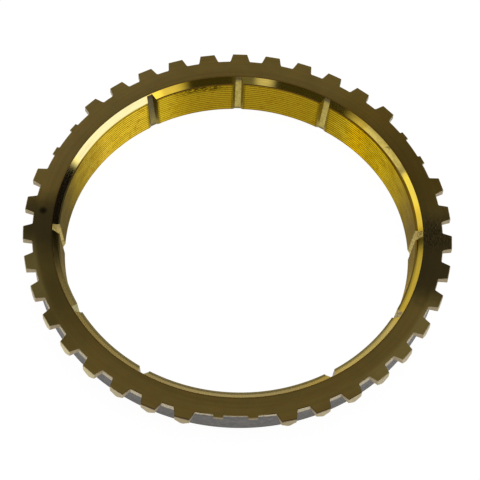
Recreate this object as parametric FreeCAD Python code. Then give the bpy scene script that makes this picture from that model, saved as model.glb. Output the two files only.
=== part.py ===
import FreeCAD, Part
import math
import os

# Synchronizer ring, one turned and forged brass piece, in millimetres.
# The ring lies as it rests on a bench: hub-side face down at z = 0, toothed face up,
# axis along Z. One full tooth points along +Y and the part is the same left and right.

# Driving dimensions

# The conical bore that grips the gear's cone
cone_mouth_diameter = 74.74      # gauge diameter at the wide end, just under the ledge
cone_half_angle = 5.5            # degrees
mouth_ledge_width = 0.34         # flat ring where the cone's fine thread starts
mouth_chamfer_width = 1.23       # radial width of the polished chamfer at the toothed face
mouth_chamfer_depth = 0.9        # its depth below the toothed face
bore_edge_break = 0.25           # chamfer at the narrow end of the cone

# The toothed rim
face_width = 4.13                # flat land from the chamfer to the tooth roots
rim_height = 6.2                 # toothed face to the shoulder
root_band_step = 0.12            # the gaps' floor stands this proud of the raw rim
root_band_height = 1.6           # how far down from the face the gaps' floor runs
rim_edge_radius = 0.5            # rounded lower edge of the rim

# The neck on the hub side
neck_height = 3.2                # shoulder to the resting face
neck_wall = 4.0                  # wall at the resting face
neck_edge_break = 0.4

# Full teeth
sectors = 3
full_teeth_per_sector = 11
stubs_per_sector = 2
tooth_height = 1.93              # root circle to tip circle
tooth_root_width = 4.23
tooth_tip_width = 3.11
tooth_flank_depth = 1.7          # depth of a flank at the tip, from the face to the roof
tooth_foot_radius = 0.15
roof_angle = 105.0               # degrees between the two roof planes under a tooth

# Stubs, the low narrow teeth over the key slots
stub_height = 0.55
stub_width = 2.0
stub_flank_depth = 0.5
stub_foot_radius = 0.15

# Oil grooves down the cone
grooves_per_sector = 3
groove_floor_width = 1.3
groove_flare = 0.52              # each side opens by this much from floor to cone
groove_depth_at_mouth = 1.3
groove_depth_at_neck = 0.12      # the grooves run out here
groove_overrun = 0.06            # the sides are carried this far past the cone

# Key slots in the neck, one under each pair of stubs
key_slot_width = 9.0
key_slot_floor_wall = 1.8        # wall left between a slot's floor and the cone

# Derived sizes

V = FreeCAD.Vector
AXIS = V(0, 0, 1)
CENTRE = V(0, 0, 0)

total_height = rim_height + neck_height
face_z = total_height
shoulder_z = neck_height
ledge_z = face_z - mouth_chamfer_depth
cone_slope = math.tan(math.radians(cone_half_angle))
cone_mouth_radius = cone_mouth_diameter / 2


def cone_radius(z):
    return cone_mouth_radius - (ledge_z - z) * cone_slope


chamfer_foot_radius = cone_mouth_radius + mouth_ledge_width
face_bore_radius = chamfer_foot_radius + mouth_chamfer_width
root_radius = face_bore_radius + face_width
rim_radius = root_radius - root_band_step
tip_radius = root_radius + tooth_height
stub_radius = root_radius + stub_height
bore_foot_radius = cone_radius(bore_edge_break)
neck_radius = bore_foot_radius + bore_edge_break + neck_wall
positions_per_sector = full_teeth_per_sector + stubs_per_sector
tooth_positions = sectors * positions_per_sector
tooth_pitch = 360.0 / tooth_positions
sector_pitch = 360.0 / sectors
first_sector = 90.0              # azimuth of the middle of the first run of full teeth
roof_slope = math.tan(math.radians(roof_angle / 2))
anchor = 1.0                     # how deep a tooth's root is sunk into the rim before fusing
margin = 1.0                     # how far a cutter runs past the faces that it opens


def turned(shape, azimuth):
    copy = shape.copy()
    copy.rotate(CENTRE, AXIS, azimuth)
    return copy


def ring_blank():
    """The turned blank: one closed section, revolved about the axis."""
    r = rim_edge_radius
    bend = V(rim_radius - r, 0, shoulder_z + r)
    outline = [
        V(face_bore_radius, 0, face_z),
        V(root_radius, 0, face_z),
        V(root_radius, 0, face_z - root_band_height),
        V(rim_radius, 0, face_z - root_band_height),
        V(rim_radius, 0, shoulder_z + r),
    ]
    arc_mid = bend + V(r * math.sqrt(0.5), 0, -r * math.sqrt(0.5))
    arc_end = V(rim_radius - r, 0, shoulder_z)
    rest = [
        arc_end,
        V(neck_radius, 0, shoulder_z),
        V(neck_radius, 0, neck_edge_break),
        V(neck_radius - neck_edge_break, 0, 0),
        V(bore_foot_radius + bore_edge_break, 0, 0),
        V(bore_foot_radius, 0, bore_edge_break),
        V(cone_mouth_radius, 0, ledge_z),
        V(chamfer_foot_radius, 0, ledge_z),
        V(face_bore_radius, 0, face_z),
    ]
    edges = [Part.makeLine(a, b) for a, b in zip(outline, outline[1:])]
    edges.append(Part.Arc(outline[-1], arc_mid, arc_end).toShape())
    edges += [Part.makeLine(a, b) for a, b in zip(rest, rest[1:])]
    section = Part.Face(Part.Wire(edges))
    return section.revolve(CENTRE, AXIS, 360)


def foot_arc(root_corner, tip_corner, foot):
    """Ends and middle of the fillet between a flank and the root circle."""
    along = (tip_corner - root_corner).normalize()
    out = V(-along.y, along.x, 0)
    start = root_corner + out * foot
    reach = root_radius + foot
    half = start.dot(along)
    t = -half + math.sqrt(half * half - start.dot(start) + reach * reach)
    centre = start + along * t
    on_flank = centre - out * foot
    on_root = centre * (root_radius / reach)
    inward = ((on_flank + on_root) * 0.5 - centre).normalize()
    return on_root, centre + inward * foot, on_flank


def tooth(top_radius, root_width, tip_width, flank_depth, foot):
    """A tooth along +X: its plan carried down, under a roof of two planes."""
    root_half = root_width / 2
    tip_half = tip_width / 2
    root_corner = V(math.sqrt(root_radius ** 2 - root_half ** 2), root_half, 0)
    tip_corner = V(math.sqrt(top_radius ** 2 - tip_half ** 2), tip_half, 0)
    on_root, mid, on_flank = foot_arc(root_corner, tip_corner, foot)
    inner = on_root * ((root_radius - anchor) / root_radius)

    def other(p):
        return V(p.x, -p.y, p.z)

    edges = [
        Part.makeLine(inner, on_root),
        Part.Arc(on_root, mid, on_flank).toShape(),
        Part.makeLine(on_flank, tip_corner),
        Part.Arc(tip_corner, V(top_radius, 0, 0), other(tip_corner)).toShape(),
        Part.makeLine(other(tip_corner), other(on_flank)),
        Part.Arc(other(on_flank), other(mid), other(on_root)).toShape(),
        Part.makeLine(other(on_root), other(inner)),
        Part.makeLine(other(inner), inner),
    ]
    plan = Part.Face(Part.Wire(edges))
    ridge_depth = flank_depth + tip_half / roof_slope
    block = plan.extrude(V(0, 0, -ridge_depth - margin))
    block.translate(V(0, 0, face_z))

    eaves = ridge_depth + margin
    low = V(root_radius - anchor - margin, 0, face_z - ridge_depth)
    left = low + V(0, -eaves * roof_slope, eaves)
    right = low + V(0, eaves * roof_slope, eaves)
    gable = Part.Face(Part.makePolygon([low, right, left, low]))
    roof = gable.extrude(V(top_radius - low.x + margin, 0, 0))
    return block.common(roof)


def groove_section(z, depth):
    """A groove's section at one height: flat floor, sides flared out past the cone, open bore."""
    floor_half = groove_floor_width / 2
    mouth_half = floor_half + groove_flare * (depth + groove_overrun) / depth
    mouth_x = cone_radius(z) - groove_overrun
    floor_x = cone_radius(z) + depth
    open_x = mouth_x - margin
    corners = [
        V(floor_x, -floor_half, z),
        V(floor_x, floor_half, z),
        V(mouth_x, mouth_half, z),
        V(open_x, mouth_half, z),
        V(open_x, -mouth_half, z),
        V(mouth_x, -mouth_half, z),
        V(floor_x, -floor_half, z),
    ]
    return Part.makePolygon(corners)


def groove_cutter():
    """A forged groove along the cone, deep at the mouth and shallow at the neck."""
    fall = (groove_depth_at_mouth - groove_depth_at_neck) / ledge_z
    top = groove_section(face_z, groove_depth_at_mouth + fall * mouth_chamfer_depth)
    low = groove_section(0.0, groove_depth_at_neck)
    cutter = Part.makeLoft([low, top], True, True)
    above = Part.Face(top).extrude(V(0, 0, margin))
    below = Part.Face(low).extrude(V(0, 0, -margin))
    return cutter.fuse([above, below])


def key_slot_cutter():
    """A slot along +X, open to the hub side and outwards, up to the shoulder."""
    floor_x = cone_radius(shoulder_z) + key_slot_floor_wall
    length = neck_radius - floor_x + margin
    slot = Part.makeBox(length, key_slot_width, shoulder_z + margin)
    slot.translate(V(floor_x, -key_slot_width / 2, -margin))
    return slot


def synchronizer_ring():
    full = tooth(tip_radius, tooth_root_width, tooth_tip_width,
                 tooth_flank_depth, tooth_foot_radius)
    stub = tooth(stub_radius, stub_width, stub_width,
                 stub_flank_depth, stub_foot_radius)
    half_run = (full_teeth_per_sector - 1) / 2
    teeth = []
    for k in range(tooth_positions):
        place = k % positions_per_sector
        model = full if place < full_teeth_per_sector else stub
        teeth.append(turned(model, first_sector + (k - half_run) * tooth_pitch))

    groove = groove_cutter()
    slot = key_slot_cutter()
    groove_pitch = sector_pitch / (grooves_per_sector + 1)
    cuts = []
    for s in range(sectors):
        middle = first_sector + s * sector_pitch
        for g in range(grooves_per_sector):
            offset = g - (grooves_per_sector - 1) / 2
            cuts.append(turned(groove, middle + offset * groove_pitch))
        cuts.append(turned(slot, middle + sector_pitch / 2))

    ring = ring_blank().fuse(teeth)
    ring = ring.cut(cuts)
    return ring.removeSplitter()


def main():
    os.makedirs("parts", exist_ok=True)
    ring = synchronizer_ring()
    if ring.ShapeType == "Compound" and len(ring.Solids) == 1:
        ring = ring.Solids[0]
    ring.exportStep("parts/synchronizer_ring.step")
    print("solids", len(ring.Solids), "valid", ring.isValid(), "volume", round(ring.Volume, 1))
    print("box", ring.BoundBox)


main()
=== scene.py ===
# %% [markdown]
# # Synchronizer ring
# This lesson dresses one brass part of a gearbox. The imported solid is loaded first, as a fixed
# frame in metres. It lies on its hub side, so its toothed face looks up along +Z.

# %% The frame
import bpy
import math
from mathutils import Matrix, Vector


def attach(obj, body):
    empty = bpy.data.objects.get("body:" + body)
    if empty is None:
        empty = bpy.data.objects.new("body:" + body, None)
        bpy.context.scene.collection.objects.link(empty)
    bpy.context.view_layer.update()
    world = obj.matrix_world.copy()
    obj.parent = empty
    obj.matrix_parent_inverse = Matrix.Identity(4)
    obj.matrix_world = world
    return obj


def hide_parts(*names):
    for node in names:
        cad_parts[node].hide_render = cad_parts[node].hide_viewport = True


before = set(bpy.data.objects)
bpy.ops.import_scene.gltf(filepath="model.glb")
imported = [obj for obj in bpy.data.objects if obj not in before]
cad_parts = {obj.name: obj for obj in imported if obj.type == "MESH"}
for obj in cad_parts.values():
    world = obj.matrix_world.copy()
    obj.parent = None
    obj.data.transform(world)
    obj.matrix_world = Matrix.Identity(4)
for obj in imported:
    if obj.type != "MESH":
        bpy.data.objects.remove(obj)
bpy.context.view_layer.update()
NODE = "synchronizer_ring"

# %% [markdown]
# ## Sizes
# The sizes repeat those of the solid, in metres. Heights count from the resting face. The
# grooves stand a little further round than the teeth, so their turn is a size as well.

# %% Sizes of the ring
MM = 0.001
RIM_HEIGHT = 6.2 * MM
NECK_HEIGHT = 3.2 * MM
FACE_Z = RIM_HEIGHT + NECK_HEIGHT
FACE_MM = FACE_Z / MM            # for the finishes, which count in millimetres
LEDGE_Z = FACE_Z - 0.9 * MM
CONE_MOUTH_R = 37.37 * MM
CONE_SLOPE = math.tan(math.radians(5.5))
CHAMFER_FOOT_R = CONE_MOUTH_R + 0.34 * MM
FACE_BORE_R = CHAMFER_FOOT_R + 1.23 * MM
ROOT_R = FACE_BORE_R + 4.13 * MM
RIM_R = ROOT_R - 0.12 * MM
BAND_Z = FACE_Z - 1.6 * MM
TIP_R = ROOT_R + 1.93 * MM
STUB_R = ROOT_R + 0.55 * MM
BORE_BREAK = 0.25 * MM
BORE_FOOT_R = CONE_MOUTH_R - (LEDGE_Z - BORE_BREAK) * CONE_SLOPE
THREAD_PITCH = 0.65 * MM
THREAD_START = BORE_BREAK + 0.02 * MM
NECK_R = BORE_FOOT_R + BORE_BREAK + 4.0 * MM
NECK_BREAK = 0.4 * MM
RIM_EDGE_R = 0.5 * MM
TOOTH_POSITIONS = 39
POSITIONS_PER_SECTOR = 13
FULL_TEETH_PER_SECTOR = 11
TOOTH_PITCH = math.tau / TOOTH_POSITIONS
GROOVE_TURN = 0.35               # degrees


def cone_r(z):
    """Radius of the conical bore at one height."""
    return CONE_MOUTH_R - (LEDGE_Z - z) * CONE_SLOPE


print("tip diameter %.2f mm, height %.2f mm" % (2 * TIP_R / MM, FACE_Z / MM))

# %% [markdown]
# ## Working by hand
# An operator acts on whatever is selected. These helpers clear the selection first, and then
# pick faces, edges or points in code by where they are, as a modeller would with the mouse.
# Others name the new object, apply a modifier or hang materials on an object.

# %% Modelling helpers


def object_mode():
    if bpy.context.object and bpy.context.object.mode != "OBJECT":
        bpy.ops.object.mode_set(mode="OBJECT")


def nothing_selected():
    """Leaves edit mode and deselects all, as before a new primitive is added."""
    object_mode()
    bpy.ops.object.select_all(action="DESELECT")


def only(obj):
    """Selects one object alone and makes it active."""
    nothing_selected()
    obj.select_set(True)
    bpy.context.view_layer.objects.active = obj
    return obj


def named(name):
    """Names the active object, which is the one just made, and its mesh."""
    obj = bpy.context.object
    obj.name = name
    obj.data.name = name
    return obj


def pick(obj, kind, test):
    """In edit mode, selects the points, edges or faces that pass the test, and nothing else."""
    only(obj)
    bpy.ops.object.mode_set(mode="EDIT")
    bpy.ops.mesh.select_mode(type=kind)
    bpy.ops.mesh.select_all(action="DESELECT")
    bpy.ops.object.mode_set(mode="OBJECT")
    items = {"VERT": obj.data.vertices, "EDGE": obj.data.edges, "FACE": obj.data.polygons}[kind]
    count = 0
    for item in items:
        item.select = bool(test(item))
        count += item.select
    bpy.ops.object.mode_set(mode="EDIT")
    return count


def apply_modifier(obj, kind, **settings):
    """Adds a modifier, sets it and applies it to the mesh."""
    only(obj)
    mod = obj.modifiers.new(kind.title(), kind)
    for key, value in settings.items():
        setattr(mod, key, value)
    bpy.ops.object.modifier_apply(modifier=mod.name)


def put_materials(obj, *materials):
    for material in materials:
        obj.data.materials.append(material)


def paint(obj, slot, test):
    """Gives the material in one slot to the faces that pass the test, and counts them."""
    count = pick(obj, "FACE", test)
    obj.active_material_index = slot
    bpy.ops.object.material_slot_assign()
    object_mode()
    return count


print("modelling helpers ready")

# %% [markdown]
# ## The camera first
# The picture was taken from well above the near side, with the ring a little turned in the
# frame. Building the camera first lets every later test render be laid over the picture.
# The three axes of the camera are written from its azimuth, elevation and roll. It looks at
# the middle of the toothed face, a little off centre.

# %% Camera at the picture's view
CAMERA_AZIMUTH = math.radians(-2.3836)
CAMERA_ELEVATION = math.radians(59.7571)
CAMERA_ROLL = math.radians(3.4346)
CAMERA_DISTANCE = 0.436389
AIM_OFFSET = (-0.000415, 0.0021136)
FOCAL_PIXELS = 2081.65
IMAGE_PIXELS = 480
SENSOR_WIDTH = 36.0

back = Vector((math.sin(CAMERA_AZIMUTH) * math.cos(CAMERA_ELEVATION),
               -math.cos(CAMERA_AZIMUTH) * math.cos(CAMERA_ELEVATION),
               math.sin(CAMERA_ELEVATION)))
level = Vector((math.cos(CAMERA_AZIMUTH), math.sin(CAMERA_AZIMUTH), 0))
upright = back.cross(level)
right = level * math.cos(CAMERA_ROLL) + upright * math.sin(CAMERA_ROLL)
up = upright * math.cos(CAMERA_ROLL) - level * math.sin(CAMERA_ROLL)

nothing_selected()
bpy.ops.object.camera_add()
camera = named("picture_camera")
camera.data.sensor_width = SENSOR_WIDTH
camera.data.lens = SENSOR_WIDTH * FOCAL_PIXELS / IMAGE_PIXELS
eye = (Vector((0, 0, FACE_Z)) - right * AIM_OFFSET[0] - up * AIM_OFFSET[1]
       + back * CAMERA_DISTANCE)
camera.matrix_world = Matrix.Translation(eye) @ Matrix((right, up, back)).transposed().to_4x4()
camera.data.clip_start = 0.01
camera.data.clip_end = 20.0
bpy.context.scene.camera = camera
print("lens %.1f mm, eye at %s" % (camera.data.lens, [round(v, 4) for v in eye]))

# %% [markdown]
# ## Building finishes from nodes
# All finishes here are brass in different states: turned, polished, threaded, forged. A small
# helper class keeps each node tree short. Its patterns read Object coordinates, turned into
# millimetres, so a mark stays where it is on the metal from any side. Azimuths are degrees
# round the axis, from +X towards +Y, and a colour is blended over the one before it.

# %% A helper that builds node trees


class Finish:
    """One material: a Principled shader with patterns placed in millimetres on the object."""

    def __init__(self, name, metallic=1.0, roughness=0.3):
        self.material = bpy.data.materials.new(name)
        self.material.use_nodes = True
        self.nodes = self.material.node_tree.nodes
        self.links = self.material.node_tree.links
        self.shader = self.nodes["Principled BSDF"]
        self.set("Metallic", metallic)
        self.set("Roughness", roughness)
        place = self.nodes.new("ShaderNodeTexCoord").outputs["Object"]
        self.mm = self.vector("SCALE", place, scale=1 / MM)
        self.x, self.y, self.z = self.split(self.mm)
        flat = self.join(self.x, self.y)
        self.radius = self.vector("LENGTH", flat)
        self.round = self.vector("NORMALIZE", flat)

    # Sockets and plain nodes

    def plug(self, socket, value):
        """Links a socket to another one, or writes a plain value into it."""
        if isinstance(value, bpy.types.NodeSocket):
            self.links.new(value, socket)
        elif value is not None:
            socket.default_value = value

    def set(self, socket, value):
        """Sets or links one input of the shader; a colour is a tuple of three."""
        if isinstance(value, tuple) and len(value) == 3:
            value = (*value, 1.0)
        self.plug(self.shader.inputs[socket], value)

    def split(self, vector):
        node = self.nodes.new("ShaderNodeSeparateXYZ")
        self.links.new(vector, node.inputs[0])
        return node.outputs

    def join(self, *parts):
        node = self.nodes.new("ShaderNodeCombineXYZ")
        for socket, part in zip(node.inputs, parts):
            self.plug(socket, part)
        return node.outputs[0]

    def vector(self, operation, a, b=None, scale=None):
        node = self.nodes.new("ShaderNodeVectorMath")
        node.operation = operation
        self.plug(node.inputs[0], a)
        self.plug(node.inputs[1], b)
        if scale is not None:
            self.plug(node.inputs["Scale"], scale)
        return node.outputs["Value" if operation in ("LENGTH", "DOT_PRODUCT", "DISTANCE") else 0]

    def math(self, operation, a, b=None, c=None):
        node = self.nodes.new("ShaderNodeMath")
        node.operation = operation
        for socket, value in zip(node.inputs, (a, b, c)):
            self.plug(socket, value)
        return node.outputs[0]

    def times(self, a, b):
        return self.math("MULTIPLY", a, b)

    def fade(self, value, start, stop, low=0.0, high=1.0):
        """Runs smoothly from low at start to high at stop."""
        node = self.nodes.new("ShaderNodeMapRange")
        node.interpolation_type = "SMOOTHSTEP"
        for name, v in (("Value", value), ("From Min", start), ("From Max", stop),
                        ("To Min", low), ("To Max", high)):
            self.plug(node.inputs[name], v)
        return node.outputs["Result"]

    def span(self, value, start, stop, soft):
        """1 between two values and 0 outside, with soft ends."""
        return self.times(self.fade(value, start - soft, start + soft),
                          self.fade(value, stop + soft, stop - soft))

    # Places on the ring

    def facing(self, azimuth):
        """Degrees round the axis, counted from one azimuth, from -180 to 180."""
        a = math.radians(azimuth)
        ahead = self.vector("DOT_PRODUCT", self.round, (math.cos(a), math.sin(a), 0))
        aside = self.vector("DOT_PRODUCT", self.round, (-math.sin(a), math.cos(a), 0))
        return self.times(self.math("ARCTAN2", aside, ahead), math.degrees(1))

    def away(self, azimuth):
        """Degrees to either side of one azimuth."""
        return self.math("ABSOLUTE", self.facing(azimuth))

    def stretch(self, azimuth, start, stop, soft):
        """1 along one stretch of the ring, from start to stop degrees round an azimuth."""
        return self.span(self.facing(azimuth), start, stop, soft)

    def thirds(self):
        """Sine of three times the azimuth: 1 in the middle of each pair of stubs."""
        sine = self.vector("DOT_PRODUCT", self.round, (0, 1, 0))
        return self.times(sine, self.math("MULTIPLY_ADD", self.times(sine, sine), -4.0, 3.0))

    def near(self, x, y, z, reach, soft=0.5):
        """1 inside a small spot on the object, fading to 0 past its reach, in mm."""
        distance = self.vector("DISTANCE", self.mm, (x, y, z))
        return self.fade(distance, reach * (1 + soft), reach * (1 - soft))

    # Patterns, colours and relief

    def grain(self, per_mm, detail=2.0, rough=0.5, where=None):
        """Cloudy noise from about 0 to 1, at so many specks to a millimetre."""
        node = self.nodes.new("ShaderNodeTexNoise")
        self.plug(node.inputs["Vector"], where or self.mm)
        node.inputs["Scale"].default_value = per_mm
        node.inputs["Detail"].default_value = detail
        node.inputs["Roughness"].default_value = rough
        return node.outputs["Fac"]

    def rings(self, per_mm, detail=3.0, around=1.5):
        """Noise drawn out around the axis, as a cutting tool leaves it."""
        wide = self.split(self.vector("SCALE", self.round, scale=around))
        where = self.join(self.times(self.radius, per_mm), wide["X"], wide["Y"])
        return self.grain(1.0, detail, 0.6, where)

    def blend(self, share, first, second, kind="MIX"):
        """Goes from the first colour to the second as the share goes from 0 to 1."""
        node = self.nodes.new("ShaderNodeMix")
        node.data_type = "RGBA"
        node.blend_type = kind
        self.plug(node.inputs["Factor"], share)
        for name, colour in (("A", first), ("B", second)):
            socket = next(s for s in node.inputs if s.name == name and s.type == "RGBA")
            self.plug(socket, (*colour, 1.0) if isinstance(colour, tuple) else colour)
        return next(s for s in node.outputs if s.type == "RGBA")

    def tint(self, colour, factor):
        """A colour times a factor, which is a colour too or a single value."""
        return self.blend(1.0, colour, factor, "MULTIPLY")

    def bump(self, height, depth_mm, strength=1.0):
        node = self.nodes.new("ShaderNodeBump")
        node.inputs["Distance"].default_value = depth_mm * MM
        node.inputs["Strength"].default_value = strength
        self.plug(node.inputs["Height"], height)
        self.set("Normal", node.outputs[0])


print("finish helper ready")

# %% [markdown]
# ## The turned face
# The flat toothed face was turned on a lathe and has since tarnished to a dull olive brown.
# Fine concentric marks scatter light across the ring but not around it. The marks are noise
# that changes fast with the radius and slowly around the axis. Softer noise at larger scales
# makes the tarnish cloudy, and the inner edge is a little redder.

# %% Turned and clouded tone
face = Finish("tarnished_face")
marks = face.rings(2.2, detail=5.0)
cloud = face.grain(0.30, detail=4.0)
fine = face.grain(9.0, detail=2.0)
tone = face.blend(face.fade(marks, 0.2, 0.8), (0.112, 0.074, 0.016), (0.142, 0.098, 0.026))
tone = face.blend(face.times(face.fade(cloud, 0.3, 0.75), 0.45), tone, (0.094, 0.067, 0.019))
tone = face.tint(tone, face.fade(face.radius, 39.0, 43.0, 0.93, 1.08))
mottle = face.grain(1.1, detail=5.0)
tone = face.blend(face.fade(mottle, 0.62, 0.35, 0.0, 0.3), tone, (0.100, 0.084, 0.022))
tone = face.blend(face.fade(mottle, 0.45, 0.7, 0.0, 0.35), tone, (0.135, 0.074, 0.017))
tone = face.blend(face.fade(face.radius, 39.35, 39.0, 0.0, 0.7), tone, (0.085, 0.040, 0.006))
print("turned tone:", len(face.nodes), "nodes")

# %% [markdown]
# The face is darker at the two sides with painted shade: each has a dark core and a lighter
# tail that runs on round the ring. A little noise is added to the angle, so that their ends
# don't look ruled.

# %% Painted shade at the two sides
# each row places painted shade on one side of the face
PAINTED_SHADE_SIDES = [
    # azimuth of the core, its reach back and on, end of its tail, all in degrees
    (358.0, 19.0, 8.0, 60.0),
    (180.0, 8.5, 9.0, 52.0),
]
wander = face.math("MULTIPLY_ADD", face.grain(0.5, detail=3.0), 5.0, -2.5)
for azimuth, reach_back, reach_on, tail in PAINTED_SHADE_SIDES:
    angle = face.math("ADD", face.facing(azimuth), wander)
    trail = face.times(face.fade(angle, -reach_back - 7, -reach_back + 5),
                       face.fade(angle, tail, 20.0))
    tone = face.blend(face.times(trail, 0.47), tone, (0.012, 0.012, 0.004))
    core = face.span(angle, -reach_back, reach_on, 6.0)
    tone = face.blend(face.times(core, 0.58), tone, (0.012, 0.010, 0.006))
print("with tarnish:", len(face.nodes), "nodes")

# %% [markdown]
# One side has a rough stain with pale flecks: noise drawn out along one direction and kept
# inside a soft ball. The other side has one round dark spot, a ball without noise. Some
# stretches of the ring are warmer, paler or lighter along the outer edge.

# %% Stain, spot and stretches
scratches = face.vector("MULTIPLY", face.mm, (2.6, 0.9, 1.0))
stain = face.times(face.near(41.6, 0.0, FACE_MM, 3.6, 0.8),
                   face.fade(face.grain(1.6, 4.0, 0.6, where=scratches), 0.35, 0.7))
spot = face.near(-41.0, 3.6, FACE_MM, 0.75, 0.6)
flecks = face.times(face.near(41.6, 0.5, FACE_MM, 4.4, 0.5),
                    face.fade(face.grain(2.4, 3.0, 0.6, where=scratches), 0.55, 0.68))
tone = face.blend(face.times(flecks, 0.5), tone, (0.125, 0.085, 0.040))
dark = face.math("MAXIMUM", face.times(stain, 0.8), face.times(spot, 0.9))
tone = face.blend(dark, tone, (0.005, 0.004, 0.002))
warmer = face.tint(tone, (0.93, 0.86, 0.65))
tone = face.blend(face.stretch(32, -22.0, 24.0, 8.0), tone, warmer)
paler = face.tint(tone, (1.08, 1.10, 1.25))
tone = face.blend(face.stretch(138, -26.0, 24.0, 10.0), tone, paler)
tone = face.tint(tone, face.fade(face.y, 5.0, -25.0, 1.0, 0.90))
outer = face.math("MAXIMUM", face.stretch(196, -10.0, 9.0, 5.0),
                  face.stretch(325, -17.0, 13.0, 6.0))
outer = face.times(outer, face.fade(face.radius, 41.8, 42.9))
tone = face.blend(face.times(outer, 0.35), tone, (0.20, 0.16, 0.055))
face.set("Base Color", tone)
face.set("Roughness", face.fade(fine, 0.3, 0.7, 0.40, 0.52))
face.bump(marks, 0.01, 0.5)
print(face.material.name, len(face.nodes), "nodes")

# %% [markdown]
# ## The polished chamfer
# The chamfer inside the face is the only mirror on the part, cut by a sharp tool. Its feed
# marks run round the ring, so they blur what it shows up and down the slope but not around
# it. Anisotropy does that: the value says how much, and the rotation of a quarter turn lays
# the blur across the marks. Round the ring its colour carries painted reflections, with one
# row of the list for each stretch. A later row lies over the earlier ones.

# %% Painted reflections along the chamfer
CHAMFER_REFLECTION_STRETCHES = [
    # azimuth, reach back, reach on and softness in degrees, colour
    (140, -19.0, 22.0, 2.0, (0.76, 0.68, 0.35)),     # pale, at the left
    (4, -8.0, 5.0, 2.0, (0.78, 0.53, 0.040)),
    (17, -6.0, 6.0, 2.0, (0.98, 0.74, 0.07)),
    (84, -7.0, 5.0, 2.0, (0.88, 0.66, 0.14)),
    (170, -10.0, 9.5, 1.5, (0.90, 0.66, 0.33)),
    (156, -2.5, 4.0, 1.5, (0.98, 0.82, 0.27)),
    (315, -15.0, 13.0, 5.0, (1.0, 0.78, 0.22)),
    (34, -11.0, 10.0, 2.0, (0.95, 0.74, 0.17)),
    (240, -62.0, 55.0, 14.0, (0.51, 0.39, 0.118)),   # dull, on the near side
    (222, -13.0, 14.0, 7.0, (0.65, 0.50, 0.150)),
]
chamfer = Finish("polished_chamfer")
chamfer.set("Anisotropic", 0.8)
chamfer.set("Anisotropic Rotation", 0.25)
chatter = chamfer.rings(3.0, detail=2.0, around=2.0)
smudge = chamfer.rings(5.0, detail=4.0, around=9.0)
shine = (0.92, 0.63, 0.055)
# painted reflections laid over the brass, stretch by stretch
for azimuth, start, stop, soft, colour in CHAMFER_REFLECTION_STRETCHES:
    shine = chamfer.blend(chamfer.stretch(azimuth, start, stop, soft), shine, colour)
shine = chamfer.blend(chamfer.fade(smudge, 0.35, 0.75, 0.0, 0.35), shine, (0.60, 0.45, 0.16))
print("chamfer:", len(CHAMFER_REFLECTION_STRETCHES), "stretches")

# %% [markdown]
# On the near side and at the right painted shade darkens the chamfer's foot. One stretch at
# the right is rubbed dull, more so towards the face. It has a small bent nick in its outer
# edge, and a smear where it ends.

# %% Painted shade at the foot, rubbed stretch and nick
# painted shade at the chamfer's foot on the near side
foot = chamfer.times(chamfer.fade(chamfer.radius, 38.25, 37.88),
                     chamfer.fade(chamfer.y, 0.0, -4.0))
foot = chamfer.times(foot, chamfer.fade(chamfer.x, -37.0, -31.0))
shine = chamfer.blend(foot, shine, chamfer.tint(shine, (0.66, 0.69, 0.82)))
worn = chamfer.tint(shine, chamfer.fade(chamfer.radius, 38.0, 38.85, 1.10, 0.82))
shine = chamfer.blend(chamfer.stretch(40, -11.0, 12.0, 4.0), shine, worn)
# painted shade at the chamfer's foot at the right
wide = chamfer.stretch(9, -17.0, 18.0, 9.0)
edge = chamfer.math("MULTIPLY_ADD", wide, -0.16, chamfer.radius)
foot_shade = chamfer.times(chamfer.stretch(20, -30.0, 32.0, 6.0), chamfer.fade(edge, 37.84, 37.76))
shine = chamfer.blend(chamfer.times(foot_shade, 0.95), shine, (0.11, 0.058, 0.002))
rubbed = chamfer.times(chamfer.stretch(35, -13.0, 15.0, 3.0),
                       chamfer.fade(chamfer.grain(1.3, detail=4.0), 0.42, 0.62))
shine = chamfer.blend(chamfer.times(rubbed, 0.32), shine, (0.42, 0.30, 0.055))
bend = chamfer.math("MULTIPLY_ADD", chamfer.radius, 1.6, -1.6 * 38.7)
nick = chamfer.math("ABSOLUTE", chamfer.math("ADD", chamfer.facing(34.0), bend))
nick = chamfer.times(chamfer.fade(nick, 0.5, 0.1),
                     chamfer.fade(chamfer.radius, 38.15, 38.6, 0.15, 0.8))
notch = chamfer.times(chamfer.near(32.4, 21.4, 9.3, 0.3), 0.7)
shine = chamfer.blend(chamfer.math("MAXIMUM", nick, notch), shine, (0.26, 0.19, 0.06))
smear = chamfer.fade(chamfer.away(24.8), 2.2, 0.4)
shine = chamfer.blend(chamfer.times(smear, 0.45), shine, (0.34, 0.26, 0.07))
chamfer.set("Base Color", shine)
chamfer.set("Roughness", chamfer.math("ADD", chamfer.fade(smudge, 0.3, 0.75, 0.085, 0.12),
                                      chamfer.fade(chamfer.y, 2.0, -10.0, 0.0, 0.12)))
chamfer.bump(chatter, 0.002, 0.05)
print(chamfer.material.name, len(chamfer.nodes), "nodes")
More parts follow.
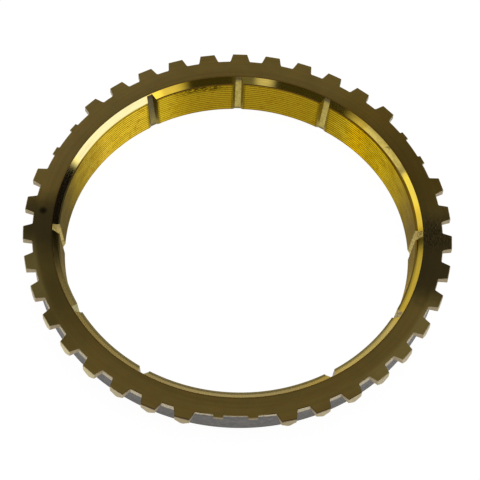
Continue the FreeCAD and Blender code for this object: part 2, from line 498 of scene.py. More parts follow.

# %% [markdown]
# ## The ledge
# The narrow ledge below the chamfer is dull, nearly black at the left and amber at the right.
# Where the chamfer is brightest the ledge gets a painted highlight as well, and only its inner
# part still shows as a thin line.

# %% Finish of the ledge
ledge = Finish("dull_ledge", roughness=0.45)
back_share = ledge.fade(ledge.y, -12.0, 18.0)
tan = ledge.blend(back_share, (0.19, 0.148, 0.054), (0.085, 0.046, 0.008))
tan = ledge.blend(ledge.stretch(344, -19.0, 14.0, 5.0), tan, (0.13, 0.085, 0.018))
tan = ledge.blend(ledge.stretch(175, -16.0, 16.0, 5.0), tan, (0.050, 0.036, 0.012))
amber = ledge.blend(ledge.fade(ledge.y, 8.0, 20.0), (0.15, 0.083, 0.006), (0.115, 0.052, 0.001))
tan = ledge.blend(ledge.stretch(25, -30.0, 28.0, 8.0), tan, amber)
# painted highlight on the ledge where the chamfer is brightest
lit = ledge.blend(ledge.fade(ledge.radius, 37.52, 37.62), (0.32, 0.21, 0.005), (0.76, 0.60, 0.15))
tan = ledge.blend(ledge.stretch(137, -16.0, 16.0, 4.0), tan, lit)
ledge.set("Base Color", tan)
ledge.bump(ledge.rings(4.0, detail=3.0), 0.01, 0.4)
print(ledge.material.name, len(ledge.nodes), "nodes")

# %% [markdown]
# ## The threaded cone
# A fine thread covers the conical bore so that it can cut through the layer of oil and grip.
# Its crests and flanks throw light at each other, which makes this the most golden surface.
# Round the ring the gold carries painted reflection: it is deeper at the back, paler at the
# left and right of it, and greyer with painted shade at both sides.

# %% Gold of the thread
thread = Finish("golden_thread", roughness=0.34)
patch = thread.grain(0.25, detail=3.0)
gold = thread.blend(thread.fade(patch, 0.3, 0.7), (0.61, 0.41, 0.014), (0.70, 0.51, 0.034))
# painted reflection: darker gold at the back, paler beside it
behind = thread.stretch(84, -31.0, 27.0, 7.0)
gold = thread.blend(thread.times(behind, 0.9), gold, (0.41, 0.275, 0.016))
gold = thread.blend(thread.stretch(132, -10.0, 12.0, 5.0), gold, (0.80, 0.56, 0.045))
gold = thread.blend(thread.stretch(152, -10.0, 6.0, 6.0), gold, thread.tint(gold, (1.0, 1.0, 2.0)))
gold = thread.blend(thread.stretch(46, -4.0, 3.0, 3.0), gold, (0.80, 0.50, 0.010))
# painted shade: grey at both sides, where the thread is seen edge-on
for azimuth, start, stop, grey in ((178, 40.0, 5.0, (0.135, 0.118, 0.060)),
                                   (2, 36.0, 2.0, (0.205, 0.160, 0.066))):
    gold = thread.blend(thread.fade(thread.away(azimuth), start, stop), gold, grey)
print("gold:", len(thread.nodes), "nodes")

# %% [markdown]
# At the left and right the thread is seen edge-on, so painted shade darkens its valleys there,
# the gold is painted a little lighter, and faint streaks are painted. The height is counted in
# pitches, and its fraction says where in one turn of the thread a point lies.

# %% Valleys and streaks
turn = thread.math("FRACT", thread.math("MULTIPLY_ADD", thread.z, MM / THREAD_PITCH,
                                        -THREAD_START / THREAD_PITCH))
valley = thread.span(turn, 0.06, 0.5, 0.07)
sideways = thread.math("ABSOLUTE", thread.x)
aside = thread.fade(sideways, 10.0, 26.0, 0.04, 0.95)
gold = thread.tint(gold, thread.math("MULTIPLY_ADD", aside, 0.16, 1.0))
# painted shade in the valleys at the sides
gold = thread.blend(thread.times(valley, aside), gold, (0.08, 0.052, 0.005))
streaks = thread.fade(thread.rings(16.0, detail=3.0, around=8.0), 0.3, 0.7, 0.80, 1.16)
gold = thread.blend(aside, gold, thread.tint(gold, streaks))
print("with valleys:", len(thread.nodes), "nodes")

# %% [markdown]
# Rusty clouds and dark specks are spread over the cone. A smear of oil lies below the chamfer
# at the back, and a narrow shade runs down beside each groove there.

# %% Rust, oil and shade
rust = thread.fade(thread.grain(0.9, detail=4.0), 0.5, 0.72, 0.0, 0.5)
rust = thread.times(rust, thread.fade(sideways, 36.0, 30.0))
gold = thread.blend(rust, gold, (0.36, 0.18, 0.010))
specks = thread.fade(thread.grain(2.6, detail=3.0), 0.68, 0.74)
smears = thread.vector("MULTIPLY", thread.mm, (1.5, 1.5, 3.4))
oil = thread.times(thread.near(-8.0, 36.4, 8.3, 4.8, 0.6),
                   thread.fade(thread.grain(1.0, detail=4.0, where=smears), 0.43, 0.52))
oil = thread.times(oil, thread.fade(thread.z, 6.3, 7.6))
dark = thread.math("MAXIMUM", thread.times(specks, 0.5), thread.times(oil, 0.8))
gold = thread.blend(dark, gold, (0.03, 0.018, 0.004))
beside = thread.math("ABSOLUTE", thread.math("PINGPONG", thread.facing(GROOVE_TURN), 15.0))
shade = thread.times(thread.fade(beside, 2.6, 2.1), thread.fade(thread.y, 24.0, 31.0))
gold = thread.blend(thread.times(shade, 0.55), gold, (0.16, 0.11, 0.008))
gold = thread.tint(gold, thread.fade(thread.y, 1.0, -7.0, 1.0, 0.78))
thread.set("Base Color", gold)
thread.set("Specular Tint", (0.5, 0.36, 0.08))
thread.bump(thread.grain(4.0, detail=3.0), 0.015, 0.3)
print(thread.material.name, len(thread.nodes), "nodes")

# %% [markdown]
# ## Groove floors
# The oil grooves were formed with the blank and keep its dull straw tone. One groove at the
# back is dull grey. The back grooves are darker at the mouth and where they run out.

# %% Finish of the groove floors
DULL_GROOVE = (-0.5, 0.866, 0)   # its direction from the axis, at 120 degrees
groove = Finish("groove_floor", metallic=0.75, roughness=0.5)
straw = groove.blend(groove.fade(groove.grain(1.5, 4.0), 0.3, 0.7),
                     (0.52, 0.41, 0.085), (0.66, 0.54, 0.15))
straw = groove.blend(groove.fade(groove.grain(3.5, 3.0), 0.52, 0.68, 0.0, 0.5), straw,
                     (0.30, 0.22, 0.06))
dull = groove.fade(groove.vector("DOT_PRODUCT", groove.round, DULL_GROOVE), 0.97, 0.995)
dull = groove.times(dull, groove.fade(groove.z, 0.5, 6.5, 0.55, 0.88))
straw = groove.blend(dull, straw, (0.10, 0.08, 0.045))
at_back = groove.fade(groove.y, 5.0, 20.0)
mouth = groove.times(groove.fade(groove.z, 7.6, 8.9), at_back)
mouth_tone = groove.blend(dull, (0.105, 0.072, 0.030), (0.085, 0.060, 0.032))
straw = groove.blend(groove.times(mouth, 0.9), straw, mouth_tone)
runout = groove.times(groove.fade(groove.z, 0.7, 0.3), at_back)
straw = groove.blend(groove.times(runout, 0.7), straw, (0.12, 0.10, 0.06))
groove.set("Base Color", straw)
groove.bump(groove.grain(5.0, 3.0), 0.03, 0.5)
print(groove.material.name, len(groove.nodes), "nodes")

# %% [markdown]
# ## Groove sides
# The sides of the back grooves carry a painted reflection of the cone's gold, and grow
# straw-coloured near the floor of the ring. On the near side they are flecked metal. Their
# colour goes with x as painted light and shade, since each groove faces another part of the
# studio.

# %% Finish of the groove sides
side = Finish("groove_side", roughness=0.4)
out = side.math("ABSOLUTE", side.x)
front = side.fade(side.y, -4.0, -12.0)
flecked = side.fade(side.grain(2.6, 3.0), 0.42, 0.6)
near_wall = side.blend(flecked, (0.20, 0.135, 0.050), (0.48, 0.37, 0.145))
near_wall = side.blend(side.fade(side.x, -24.0, -30.0), near_wall, (0.42, 0.38, 0.15))
# painted shade and reflection, darker on the grooves at the left
wall = side.blend(side.fade(side.x, -3.0, 3.0), (0.185, 0.125, 0.004), (0.42, 0.29, 0.004))
wall = side.blend(side.fade(out, 22.0, 30.0), wall, (0.22, 0.18, 0.075))
wall = side.blend(side.fade(out, 33.0, 36.0), wall, (0.62, 0.48, 0.14))
fan = side.times(side.fade(side.z, 2.4, 0.8), side.fade(out, 8.0, 14.0))
wall = side.blend(side.times(fan, 0.6), wall, (0.50, 0.40, 0.10))
wall = side.blend(front, wall, near_wall)
wall = side.blend(side.fade(side.grain(2.0, 4.0), 0.4, 0.75, 0.0, 0.6), wall, (0.12, 0.09, 0.03))
side.set("Metallic", side.math("MULTIPLY_ADD", front, 0.4, 0.6))
side.set("Specular IOR Level", 0.2)
side.set("Base Color", wall)
side.bump(side.grain(4.0, 3.0), 0.03, 0.6)
print(side.material.name, len(side.nodes), "nodes")

# %% [markdown]
# ## Machined flanks
# The tooth flanks and tips were cut late and show pale warm metal. They are paler at the tips,
# with a painted highlight at the tips on the near left and painted shade on the near side. The
# upper edges are worn brown along a wavering line, except on the low stubs, which are grey
# below.

# %% Finish of the flanks
flank = Finish("machined_flank", roughness=0.45)
patchy = flank.fade(flank.grain(3.0, 4.0), 0.35, 0.65)
pale = flank.blend(patchy, (0.46, 0.37, 0.19), (0.58, 0.48, 0.28))
at_tip = flank.fade(flank.radius, 44.8, 44.95)
# painted highlight on the tips at the near left
bright = flank.times(flank.stretch(222, -14.0, 10.0, 6.0), at_tip)
pale = flank.blend(bright, pale, (0.70, 0.59, 0.30))
pale = flank.tint(pale, flank.blend(at_tip, (0.78, 0.76, 0.78), (1.0, 1.0, 1.0)))
# painted shade on the flanks at the near side
front_shade = flank.stretch(271, -16.0, 17.0, 8.0)
pale = flank.blend(flank.times(front_shade, 0.8), pale, (0.33, 0.245, 0.11))
wear = flank.math("MULTIPLY_ADD", flank.stretch(270, -30.0, 32.0, 10.0), 0.6, -0.08)
uneven = flank.math("MULTIPLY_ADD", flank.grain(2.0, 3.0), 0.3, -0.15)
deep = flank.math("ADD", flank.math("SUBTRACT", FACE_MM, flank.z), uneven)
worn = flank.fade(flank.math("SUBTRACT", deep, wear), 0.08, -0.08)
stubs = flank.times(flank.fade(flank.thirds(), 0.88, 0.93), flank.fade(flank.radius, 43.8, 43.7))
worn = flank.times(worn, flank.math("SUBTRACT", 1.0, stubs))
pale = flank.blend(worn, pale, (0.095, 0.053, 0.011))
under = flank.times(stubs, flank.fade(deep, 0.45, 0.85))
pale = flank.blend(under, pale, (0.13, 0.12, 0.11))
flank.set("Metallic", flank.math("MULTIPLY_ADD", worn, 0.45, 0.55))
flank.set("Base Color", pale)
flank.bump(flank.grain(6.0, 3.0), 0.03, 0.6)
print(flank.material.name, len(flank.nodes), "nodes")

# %% [markdown]
# ## The raw rim
# Under the teeth the rim keeps the grey skin of the blank. The gap floors above it are pale:
# their band runs 1.6 mm down from the face and narrows to a thin line between the two stubs
# of a pair. One finish covers both, and its boundary wavers with noise.

# %% Finish of the rim
rim = Finish("raw_rim", roughness=0.55)
skin = rim.blend(rim.fade(rim.grain(1.2, 5.0), 0.3, 0.7), (0.115, 0.106, 0.096),
                 (0.170, 0.156, 0.142))
band_depth = rim.math("MINIMUM", rim.math("MULTIPLY_ADD", rim.thirds(), -4.5, 4.75), 1.6)
uneven = rim.times(rim.math("SUBTRACT", rim.grain(0.9, 3.0), 0.5), 0.5)
deep = rim.math("ADD", rim.math("SUBTRACT", FACE_MM, rim.z), uneven)
in_band = rim.fade(rim.math("SUBTRACT", deep, band_depth), 0.08, -0.08)
warm = rim.blend(rim.fade(rim.grain(3.0, 4.0), 0.35, 0.65), (0.56, 0.48, 0.31),
                 (0.72, 0.63, 0.44))
rim.set("Base Color", rim.blend(in_band, skin, warm))
rim.set("Metallic", rim.math("MULTIPLY_ADD", in_band, 0.2, 0.3))
rim.bump(rim.grain(4.0, 4.0), 0.05, 0.7)
print(rim.material.name, len(rim.nodes), "nodes")

# %% [markdown]
# ## The hub side
# The side that lies down was faced off too. The picture doesn't show it, so it gets the
# plain turned brass that such rings have there, without stains.

# %% Finish of the hub side
hub = Finish("turned_hub_side", roughness=0.36)
lines = hub.rings(4.0, detail=4.0)
clean = hub.blend(hub.fade(lines, 0.3, 0.7), (0.30, 0.22, 0.075), (0.42, 0.32, 0.13))
hub.set("Base Color", clean)
hub.bump(lines, 0.02, 0.5)
print(hub.material.name, len(hub.nodes), "nodes")

# %% [markdown]
# Every piece of the ring gets the whole list of finishes in the same order, so that a face
# keeps its finish when pieces are joined or cut. Each finish is then called by its place.

# %% List of the finishes
FINISHES = [f.material for f in (face, chamfer, ledge, thread, groove, side, flank, rim, hub)]
FACE, CHAMFER, LEDGE, THREAD, GROOVE, GROOVE_SIDE, FLANK, RIM, HUB = range(len(FINISHES))
print("finishes:", [m.name for m in FINISHES])

# %% [markdown]
# ## The section of the blank
# On the lathe the ring is one section turned about the axis, thread included. The section is
# drawn as a closed chain of edges: a plane is merged to one point, and the point is extruded
# corner by corner. The thread's crests lie on the cone and its valleys are cut into the wall.

# %% Thread of the cone
THREAD_DEPTH = 0.12 * MM
THREAD_END = LEDGE_Z - 0.05 * MM
THREAD_SHAPE = ((0.0, 0.0), (0.08, 1.0), (0.48, 1.0), (0.56, 0.0))   # (share of pitch, of depth)


def thread_points():
    """The threaded wall from the narrow end up to the last crest under the ledge."""
    points = [(BORE_FOOT_R, BORE_BREAK)]
    z = THREAD_START
    while z + THREAD_SHAPE[-1][0] * THREAD_PITCH < THREAD_END:
        for share, depth in THREAD_SHAPE:
            height = z + share * THREAD_PITCH
            points.append((cone_r(height) + depth * THREAD_DEPTH, height))
        z += THREAD_PITCH
    return points


print("thread corners:", len(thread_points()))

# %% [markdown]
# The rest of the section follows the solid. Smooth shading would bend across a long flat band
# next to a short slope, so a spare corner a little way from the bend holds the band flat.

# %% Section corners
EDGE_BREAK = 0.12 * MM           # at the upper edges of the gaps and the tips
HOLD = 0.1 * MM                  # from a bend to its spare corner

section = [
    (FACE_BORE_R, FACE_Z),
    (ROOT_R - EDGE_BREAK - HOLD, FACE_Z),
    (ROOT_R - EDGE_BREAK, FACE_Z),
    (ROOT_R, FACE_Z - EDGE_BREAK),
    (ROOT_R, FACE_Z - EDGE_BREAK - HOLD),
    # the small step from the gaps' floor to the raw rim
    (ROOT_R, BAND_Z + 0.05 * MM),
    (RIM_R + 0.03 * MM, BAND_Z - 0.04 * MM),
    (RIM_R, BAND_Z - 0.12 * MM),
    (RIM_R, NECK_HEIGHT + RIM_EDGE_R + 0.3 * MM),
]
# the rim's rounded lower edge
for arc_step in range(6):
    swing = math.radians(18 * arc_step)
    section.append((RIM_R - RIM_EDGE_R * (1 - math.cos(swing)),
                    NECK_HEIGHT + RIM_EDGE_R * (1 - math.sin(swing))))
# the shoulder, the neck and the side that lies down
section += [
    (RIM_R - RIM_EDGE_R - 0.2 * MM, NECK_HEIGHT),
    (NECK_R + 0.15 * MM, NECK_HEIGHT),
    (NECK_R, NECK_HEIGHT),
    (NECK_R, NECK_BREAK + HOLD),
    (NECK_R, NECK_BREAK),
    (NECK_R - NECK_BREAK, 0),
    (NECK_R - NECK_BREAK - HOLD, 0),
    (BORE_FOOT_R + BORE_BREAK + HOLD, 0),
    (BORE_FOOT_R + BORE_BREAK, 0),
]
section += thread_points()
section += [(CONE_MOUTH_R, LEDGE_Z), (CHAMFER_FOOT_R, LEDGE_Z)]
print("section corners:", len(section))

# %% [markdown]
# The chain is then spun a full turn. The number of steps is a multiple of the 39 tooth
# places, so each tooth meets the wall in the same way.

# %% Spin the section
SPIN_STEPS = TOOTH_POSITIONS * 8

nothing_selected()
first = section[0]
bpy.ops.mesh.primitive_plane_add(size=1 * MM, location=(0, 0, 0))
ring = named("ring_blank")
bpy.ops.object.mode_set(mode="EDIT")
bpy.ops.mesh.select_all(action="SELECT")
bpy.ops.mesh.merge(type="CENTER")
bpy.ops.transform.translate(value=(first[0], 0, first[1]))
for before, after in zip(section, section[1:]):
    bpy.ops.mesh.extrude_region_move(TRANSFORM_OT_translate={
        "value": (after[0] - before[0], 0, after[1] - before[1])})
object_mode()
last_point = len(ring.data.vertices) - 1
print("chain of", last_point + 1, "points")
pick(ring, "VERT", lambda v: v.index in (0, last_point))
bpy.ops.mesh.edge_face_add()
bpy.ops.mesh.select_all(action="SELECT")
bpy.ops.mesh.spin(steps=SPIN_STEPS, angle=math.tau, center=(0, 0, 0), axis=(0, 0, 1))
bpy.ops.mesh.select_all(action="SELECT")
bpy.ops.mesh.remove_doubles(threshold=0.004 * MM)
bpy.ops.mesh.normals_make_consistent(inside=False)
object_mode()
print("blank:", len(ring.data.polygons), "faces")

# %% [markdown]
# Each band of the blank gets its finish by the place of its faces, before anything is added
# or cut away. A face is placed by its centre, so the limits lie a little inside the bands.

# %% Finishes of the blank
put_materials(ring, *FINISHES)


def zone(face_centre):
    """The finish that belongs at one place on the blank."""
    r, z = math.hypot(face_centre.x, face_centre.y), face_centre.z
    if z > FACE_Z - 0.001 * MM:
        return FACE
    if z > LEDGE_Z + 0.1 * MM and r < FACE_BORE_R:
        return CHAMFER
    if z > LEDGE_Z - 0.01 * MM and r < CHAMFER_FOOT_R:
        return LEDGE
    if r > ROOT_R - EDGE_BREAK and z > FACE_Z - EDGE_BREAK:
        return FLANK
    if r > NECK_R + 0.01 * MM:
        return RIM
    if r < cone_r(z) + 0.5 * MM and z > BORE_BREAK:
        return THREAD
    return HUB


for index, finish in enumerate(FINISHES):
    print(finish.name, paint(ring, index, lambda p: zone(p.center) == index), "faces")

# %% [markdown]
# A mesh that was spun or cut may be inside out. Its signed volume tells: it adds up a thin
# pyramid from the origin to each triangle, and comes out positive when all faces point
# outwards. It is measured on the blank first, and then on each piece that is added.

# %% Which way the faces look


def volume(obj):
    """Signed volume: positive when the faces point outwards."""
    obj.data.calc_loop_triangles()
    points = obj.data.vertices
    return sum(points[a].co.dot(points[b].co.cross(points[c].co))
               for a, b, c in (t.vertices for t in obj.data.loop_triangles)) / 6


print("volume of the blank: %.1f mm3" % (volume(ring) / MM ** 3))

# %% [markdown]
# ## One tooth
# A tooth is a wedge that narrows outwards, with a roof of two planes on its lower side, so
# that the sliding sleeve can find its way between the teeth. It starts as a cube at the tip.
# Its inner face is pulled inwards in steps that also widen it, which makes the foot's
# curve, and two bisects cut the roof. Bevels then round the roof's ridge, break the upper
# edge of the tip and take the sharpness off the other edges.

# %% Tooth model
ROOF_HALF_ANGLE = math.radians(52.5)   # from the ridge's upright plane to a roof plane
SPARE_HEIGHT = 0.6 * MM                # of the cube under the ridge, which the roof cuts off
RIDGE_ROUNDING = 0.29                  # share of the half width at the tip
SMALL_BEVEL = 0.05 * MM
SHARP_ANGLE = math.radians(48)         # the small bevel takes edges sharper than this
TOUCH = 0.001 * MM                     # points this close to a plane lie on it


def wedge(name, tip_r, tip_half, steps, ridge_depth):
    """A tooth along +X. The steps are (distance from the axis, half width), going inwards."""
    nothing_selected()
    height = ridge_depth + SPARE_HEIGHT
    outer = math.sqrt(tip_r ** 2 - tip_half ** 2)
    first_x, first_half = steps[0]
    bpy.ops.mesh.primitive_cube_add(
        size=1, location=((outer + first_x) / 2, 0, FACE_Z - height / 2),
        scale=(outer - first_x, 2 * tip_half, height))
    obj = named(name)
    bpy.ops.object.transform_apply(location=True, rotation=False, scale=True)
    pick(obj, "FACE", lambda p: p.normal.x < -0.9)
    bpy.ops.transform.resize(value=(1, first_half / tip_half, 1))
    at = (first_x, first_half)
    for x, half in steps[1:]:
        bpy.ops.mesh.extrude_region_move(TRANSFORM_OT_translate={"value": (x - at[0], 0, 0)})
        bpy.ops.transform.resize(value=(1, half / at[1], 1))
        at = (x, half)
    ridge_z = FACE_Z - ridge_depth
    for way in (1, -1):
        bpy.ops.mesh.select_all(action="SELECT")
        bpy.ops.mesh.bisect(
            plane_co=(0, 0, ridge_z),
            plane_no=(0, way * math.cos(ROOF_HALF_ANGLE), -math.sin(ROOF_HALF_ANGLE)),
            use_fill=True, clear_outer=True)
    bpy.ops.mesh.select_all(action="SELECT")
    bpy.ops.mesh.normals_make_consistent(inside=False)
    points = obj.data.vertices

    def along_ridge(edge):
        return all(points[i].co.z < ridge_z + TOUCH for i in edge.vertices)

    def over_tip(edge):
        return all(points[i].co.z > FACE_Z - TOUCH and points[i].co.x > outer - TOUCH
                   for i in edge.vertices)

    pick(obj, "EDGE", along_ridge)
    bpy.ops.mesh.bevel(offset=RIDGE_ROUNDING * tip_half, segments=3, affect="EDGES")
    pick(obj, "EDGE", over_tip)
    bpy.ops.mesh.bevel(offset=EDGE_BREAK, segments=1, affect="EDGES")
    apply_modifier(obj, "BEVEL", width=SMALL_BEVEL, segments=1, limit_method="ANGLE",
                   angle_limit=SHARP_ANGLE)
    print(name, "faces:", len(obj.data.polygons), "normals out:", volume(obj) > 0)
    return obj


# %% [markdown]
# The full tooth and the low stub are the same model at two sizes. The steps widen faster and
# faster towards the wall, as the foot's fillet does, and the last one is sunk into it.

# %% The two teeth
RIDGE_DEPTH = 2.893 * MM
TIP_HALF = 1.555 * MM
FULL_STEPS = ((43.20, 2.06), (43.10, 2.10), (43.05, 2.15), (43.01, 2.24), (42.0, 2.25))
STUB_RIDGE_DEPTH = 1.267 * MM
STUB_HALF = 1.0 * MM
STUB_STEPS = ((43.22, 1.0), (43.12, 1.03), (43.07, 1.08), (43.04, 1.16), (42.0, 1.17))


def in_metres(pairs):
    return [(x * MM, half * MM) for x, half in pairs]


full_tooth = wedge("full_tooth", TIP_R, TIP_HALF, in_metres(FULL_STEPS), RIDGE_DEPTH)
stub_tooth = wedge("stub_tooth", STUB_R, STUB_HALF, in_metres(STUB_STEPS), STUB_RIDGE_DEPTH)

# %% [markdown]
# The tooth's top is part of the turned face, so it takes that finish. The rest is flank.

# %% Finishes of the tooth
UPWARDS = 0.98                   # a face whose normal rises more than this is the top

for model in (full_tooth, stub_tooth):
    put_materials(model, *FINISHES)
    print(model.name, "flanks:", paint(model, FLANK, lambda p: p.normal.z <= UPWARDS), "faces")

# %% [markdown]
# ## The toothed crown
# There are 39 places round the ring. Eleven full teeth and two low stubs make a third of it.
# Each copy has its own mesh and is turned to its place about the axis. The rotation matrix is
# applied to the copy's mesh, so its object stays at the origin.

# %% Copies round the axis


def around(model, angles, name):
    """One joined object made of copies of the model, turned to the given angles."""
    copies = []
    for k, angle in enumerate(angles):
        only(model)
        bpy.ops.object.duplicate(linked=False)
        copy = named("%s_%02d" % (name, k))
        copy.rotation_euler = (0, 0, angle)
        bpy.ops.object.transform_apply(location=False, rotation=True, scale=False)
        copies.append(copy)
    only(copies[0])
    for copy in copies:
        copy.select_set(True)
    bpy.ops.object.join()
    return named(name)


FIRST_RUN = math.radians(90)     # azimuth of the middle of the first run of full teeth

full_angles, stub_angles = [], []
for k in range(TOOTH_POSITIONS):
    place = k % POSITIONS_PER_SECTOR
    angle = FIRST_RUN + (k - (FULL_TEETH_PER_SECTOR - 1) / 2) * TOOTH_PITCH
    (full_angles if place < FULL_TEETH_PER_SECTOR else stub_angles).append(angle)
full_crown = around(full_tooth, full_angles, "full_crown")
stub_crown = around(stub_tooth, stub_angles, "stub_crown")
print("full teeth:", len(full_angles), "stubs:", len(stub_angles))

# %% [markdown]
# The teeth are fused to the blank by an exact boolean. It keeps the finish of each face.

# %% Fuse the teeth


def combine(target, tool, operation):
    """Adds the tool to the target or cuts it out of it, and removes the tool."""
    only(target)
    mod = target.modifiers.new("cut", "BOOLEAN")
    mod.operation = operation
    mod.solver = "EXACT"
    mod.object = tool
    mod.material_mode = "INDEX"
    bpy.ops.object.modifier_apply(modifier=mod.name)
    bpy.data.objects.remove(tool, do_unlink=True)
    print(operation, "->", len(target.data.polygons), "faces")


combine(ring, full_crown, "UNION")
combine(ring, stub_crown, "UNION")

# %% [markdown]
# ## Oil grooves
# Nine grooves let the oil out of the cone. Each is deep at the mouth and shallow at the neck,
# with sides that lean outwards. The cutter starts as a six-sided cylinder. Bisects divide it
# by height, and then the six corners at each height are moved to the groove's section there.
# At the neck the grooves are a little deeper than in the solid, as the picture shows.

# %% Groove section
GROOVE_HALF = 0.65 * MM          # half the floor's width
GROOVE_FLARE = 0.52 * MM         # each side opens by this much from floor to cone
GROOVE_NECK_DEPTH = 0.40         # millimetres, at the resting face
GROOVE_GAIN = 0.90               # millimetres more at the height of the ledge
LIP_OVERRUN = 0.05               # share of the depth by which the sides pass the cone
CUTTER_REACH = 1.2 * MM          # of the cutter into the open bore


def groove_corners(z):
    """Corners of the groove's section at one height, as (x, y), round from the +Y lip."""
    wall = cone_r(z)
    depth = (GROOVE_NECK_DEPTH + GROOVE_GAIN * z / LEDGE_Z) * MM
    floor_x, lip, inside = wall + depth, wall - LIP_OVERRUN * depth, wall - CUTTER_REACH
    half = GROOVE_HALF + (1 + LIP_OVERRUN) * GROOVE_FLARE
    return ((lip, half), (floor_x, GROOVE_HALF), (floor_x, -GROOVE_HALF),
            (lip, -half), (inside, -half), (inside, half))


print("groove floor at the ledge: %.2f mm out" % (groove_corners(LEDGE_Z)[1][0] / MM))

# %% Groove cutter
GROOVE_LOW = -0.4 * MM
GROOVE_HIGH = FACE_Z + 0.6 * MM
GROOVE_LEVELS = 10

nothing_selected()
bpy.ops.mesh.primitive_cylinder_add(
    vertices=6, radius=1 * MM, depth=GROOVE_HIGH - GROOVE_LOW, end_fill_type="NGON",
    location=(0, 0, (GROOVE_HIGH + GROOVE_LOW) / 2))
groove_cutter = named("groove_cutter")
bpy.ops.object.transform_apply(location=True, rotation=False, scale=False)
bpy.ops.object.mode_set(mode="EDIT")
for level in range(1, GROOVE_LEVELS):
    height = GROOVE_LOW + (GROOVE_HIGH - GROOVE_LOW) * level / GROOVE_LEVELS
    bpy.ops.mesh.select_all(action="SELECT")
    bpy.ops.mesh.bisect(plane_co=(0, 0, height), plane_no=(0, 0, 1))
object_mode()
for v in groove_cutter.data.vertices:
    corner = round(math.atan2(v.co.x, v.co.y) / (math.tau / 6)) % 6
    v.co.x, v.co.y = groove_corners(v.co.z)[corner]
groove_cutter.data.update()
pick(groove_cutter, "FACE", lambda p: True)
bpy.ops.mesh.normals_make_consistent(inside=False)
object_mode()
print("groove cutter:", len(groove_cutter.data.vertices), "points, normals out:",
      volume(groove_cutter) > 0)

# %% [markdown]
# The cutter leaves its finishes on the faces that it cuts: the floor lies on the middle plane
# of the cutter, and the sides stand beside it. There is no groove at the pairs of stubs.

# %% Cut the grooves
GROOVE_AZIMUTHS = (0, 60, 90, 120, 180, 210, 240, 300, 330)
GROOVE_ANGLES = [math.radians(a) + math.radians(GROOVE_TURN) for a in GROOVE_AZIMUTHS]
MIDDLE = 0.1 * MM                # a face centred this close to the middle is the floor

put_materials(groove_cutter, *FINISHES)
floors = paint(groove_cutter, GROOVE, lambda p: abs(p.center.y) < MIDDLE)
sides = paint(groove_cutter, GROOVE_SIDE, lambda p: abs(p.center.y) >= MIDDLE)
print("groove floor faces:", floors, "side faces:", sides)
grooves = around(groove_cutter, GROOVE_ANGLES, "grooves")
combine(ring, grooves, "DIFFERENCE")

# %% [markdown]
# ## Key slots
# Three slots in the neck hold the shifting keys. They stand under the pairs of stubs and open
# to the hub side and outwards, up to the shoulder.

# %% Key slot cutter
SLOT_WIDTH = 9.0 * MM
SLOT_FLOOR_X = cone_r(NECK_HEIGHT) + 1.8 * MM
SLOT_MARGIN = 1.0 * MM           # the cutter passes the neck and the hub side by this much
SLOT_AZIMUTHS = (30, 150, 270)

slot_length = NECK_R - SLOT_FLOOR_X + SLOT_MARGIN
nothing_selected()
bpy.ops.mesh.primitive_cube_add(
    size=1, location=(SLOT_FLOOR_X + slot_length / 2, 0, (NECK_HEIGHT - SLOT_MARGIN) / 2),
    scale=(slot_length, SLOT_WIDTH, NECK_HEIGHT + SLOT_MARGIN))
slot_cutter = named("slot_cutter")
bpy.ops.object.transform_apply(location=True, rotation=False, scale=True)
put_materials(slot_cutter, *FINISHES)
print("slot cutter faces:", paint(slot_cutter, RIM, lambda p: True))
slots = around(slot_cutter, [math.radians(a) for a in SLOT_AZIMUTHS], "slots")
combine(ring, slots, "DIFFERENCE")

# %% [markdown]
# ## Clean the mesh and shade it
# Points that the booleans left on top of each other are merged, normals are made to point
# outwards, and faces that meet at less than 25 degrees are shaded as one surface.

# %% Clean up
SMOOTH_BELOW = math.radians(25)

for spare in (full_tooth, stub_tooth, groove_cutter, slot_cutter):
    bpy.data.objects.remove(spare, do_unlink=True)
pick(ring, "VERT", lambda v: True)
bpy.ops.mesh.remove_doubles(threshold=0.0004 * MM)
bpy.ops.mesh.normals_make_consistent(inside=False)
only(ring)
bpy.ops.object.shade_smooth_by_angle(angle=SMOOTH_BELOW)
ring = named("synchronizer_ring_dressed")
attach(ring, "root")
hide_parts(NODE)
ring.data.calc_loop_triangles()
print("ring:", len(ring.data.loop_triangles), "triangles, volume %.1f mm3"
      % (volume(ring) / MM ** 3))

# %% [markdown]
# ## The floor
# The ring lies on a pale floor. It shows white to the camera and in reflections, by the kind
# of ray that meets it, with a small share of real shading that keeps the object's shadow.
# Its glow is a little over 1, to make up for that share. A helper adds the math nodes.

# %% Helper for math nodes


def math_node(tree, operation, first, second):
    """A math node in a tree. Each input is a socket to link or a plain number."""
    node = tree.nodes.new("ShaderNodeMath")
    node.operation = operation
    for socket, value in zip(node.inputs, (first, second)):
        if isinstance(value, bpy.types.NodeSocket):
            tree.links.new(value, socket)
        else:
            socket.default_value = value
    return node.outputs[0]


print("math node helper ready")

# %% Floor
FLOOR_SIZE = 6.0
FLOOR_GAP = 0.1 * MM             # the floor lies this far under the ring
FLOOR_GLOW = 1.07
WHITE_SHARE = 0.9

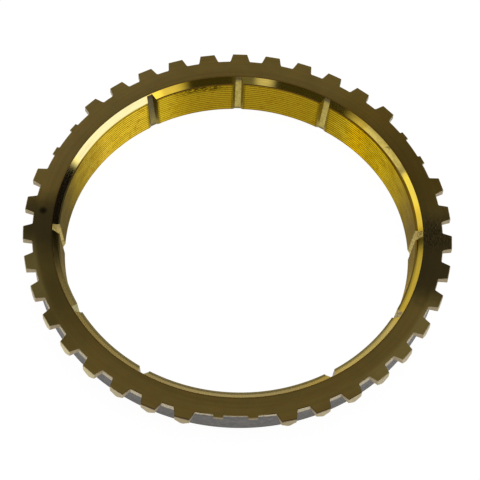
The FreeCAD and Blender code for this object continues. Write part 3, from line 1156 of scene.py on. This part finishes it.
nothing_selected()
bpy.ops.mesh.primitive_plane_add(size=FLOOR_SIZE, location=(0, 0, -FLOOR_GAP))
floor = named("floor")
paper = bpy.data.materials.new("white_paper")
paper.use_nodes = True
nodes, links = paper.node_tree.nodes, paper.node_tree.links
surface = nodes["Principled BSDF"]
surface.inputs["Base Color"].default_value = (0.85, 0.85, 0.85, 1)
surface.inputs["Roughness"].default_value = 0.9
glow = nodes.new("ShaderNodeEmission")
glow.inputs["Color"].default_value = (1, 1, 1, 1)
glow.inputs["Strength"].default_value = FLOOR_GLOW
ray = nodes.new("ShaderNodeLightPath").outputs
seen = math_node(paper.node_tree, "MAXIMUM", ray["Is Camera Ray"], ray["Is Glossy Ray"])
seen = math_node(paper.node_tree, "MAXIMUM", seen, ray["Is Transmission Ray"])
mix = nodes.new("ShaderNodeMixShader")
links.new(math_node(paper.node_tree, "MULTIPLY", seen, WHITE_SHARE), mix.inputs[0])
links.new(surface.outputs[0], mix.inputs[1])
links.new(glow.outputs[0], mix.inputs[2])
links.new(mix.outputs[0], nodes["Material Output"].inputs["Surface"])
put_materials(floor, paper)
print(paper.name, len(nodes), "nodes")

# %% [markdown]
# ## The light
# The studio is a world of soft panels: a softbox overhead, a key light to the right, a fill to
# the left, pale cards low in front, and dark gaps between them. Polished brass needs such
# gaps, since it only shows what stands round it. Where panels overlap the brighter one shows.

# %% Helper for a soft panel
world = bpy.data.worlds.new("soft_studio")
bpy.context.scene.world = world
world.use_nodes = True
studio = world.node_tree
toward = studio.nodes.new("ShaderNodeTexCoord").outputs["Generated"]


def panel(total, azimuth, elevation, inner, outer, strength):
    """Adds a soft round panel: full inside the inner angle, gone past the outer one."""
    a, e = math.radians(azimuth), math.radians(elevation)
    aim = studio.nodes.new("ShaderNodeVectorMath")
    aim.operation = "DOT_PRODUCT"
    studio.links.new(toward, aim.inputs[0])
    aim.inputs[1].default_value = (math.cos(a) * math.cos(e), math.sin(a) * math.cos(e),
                                   math.sin(e))
    edge = studio.nodes.new("ShaderNodeMapRange")
    edge.interpolation_type = "SMOOTHSTEP"
    studio.links.new(aim.outputs["Value"], edge.inputs["Value"])
    for name, value in (("From Min", math.cos(math.radians(outer))),
                        ("From Max", math.cos(math.radians(inner))),
                        ("To Min", 0.0), ("To Max", strength)):
        edge.inputs[name].default_value = value
    return math_node(studio, "MAXIMUM", total, edge.outputs["Result"])


print("world:", world.name)

# %% World of soft panels
PANELS = [
    # azimuth, elevation, inner, outer, strength
    (90, 66, 36, 48, 1.0),     # overhead softbox, behind the ring
    (346, 44, 19.5, 24, 1.4),  # key light on the right
    (322, 46, 8, 16, 0.85),    # its soft left edge
    (158, 31, 10, 14.5, 1.0),  # fill on the left
    (184, 43, 10, 20, 0.68),
    (129, 11, 12, 19, 0.56),
    (112, 4, 6, 10, 0.45),
    (83.5, 2, 34, 43, 0.25),   # low back wall
    (257, 54, 1.5, 5, 0.85),
    (267, 51, 3, 7, 0.16),
    (262, 50, 32, 44, 0.034),
    (225, 12, 20, 28, 0.95),   # pale cards in front
    (270, 12, 24, 32, 0.36),
    (315, 12, 20, 28, 0.62),
]
FAINTEST = 0.006                 # what the gaps between the panels still give

light = 0.0
for values in PANELS:
    light = panel(light, *values)
sky = studio.nodes["Background"]
sky.inputs["Color"].default_value = (1, 1, 1, 1)
studio.links.new(math_node(studio, "MAXIMUM", light, FAINTEST), sky.inputs["Strength"])
print("panels:", len(PANELS))

# %% [markdown]
# ## Last steps
# The picture is shown with the Standard view.

# %% Finish
bpy.context.scene.view_settings.view_transform = "Standard"
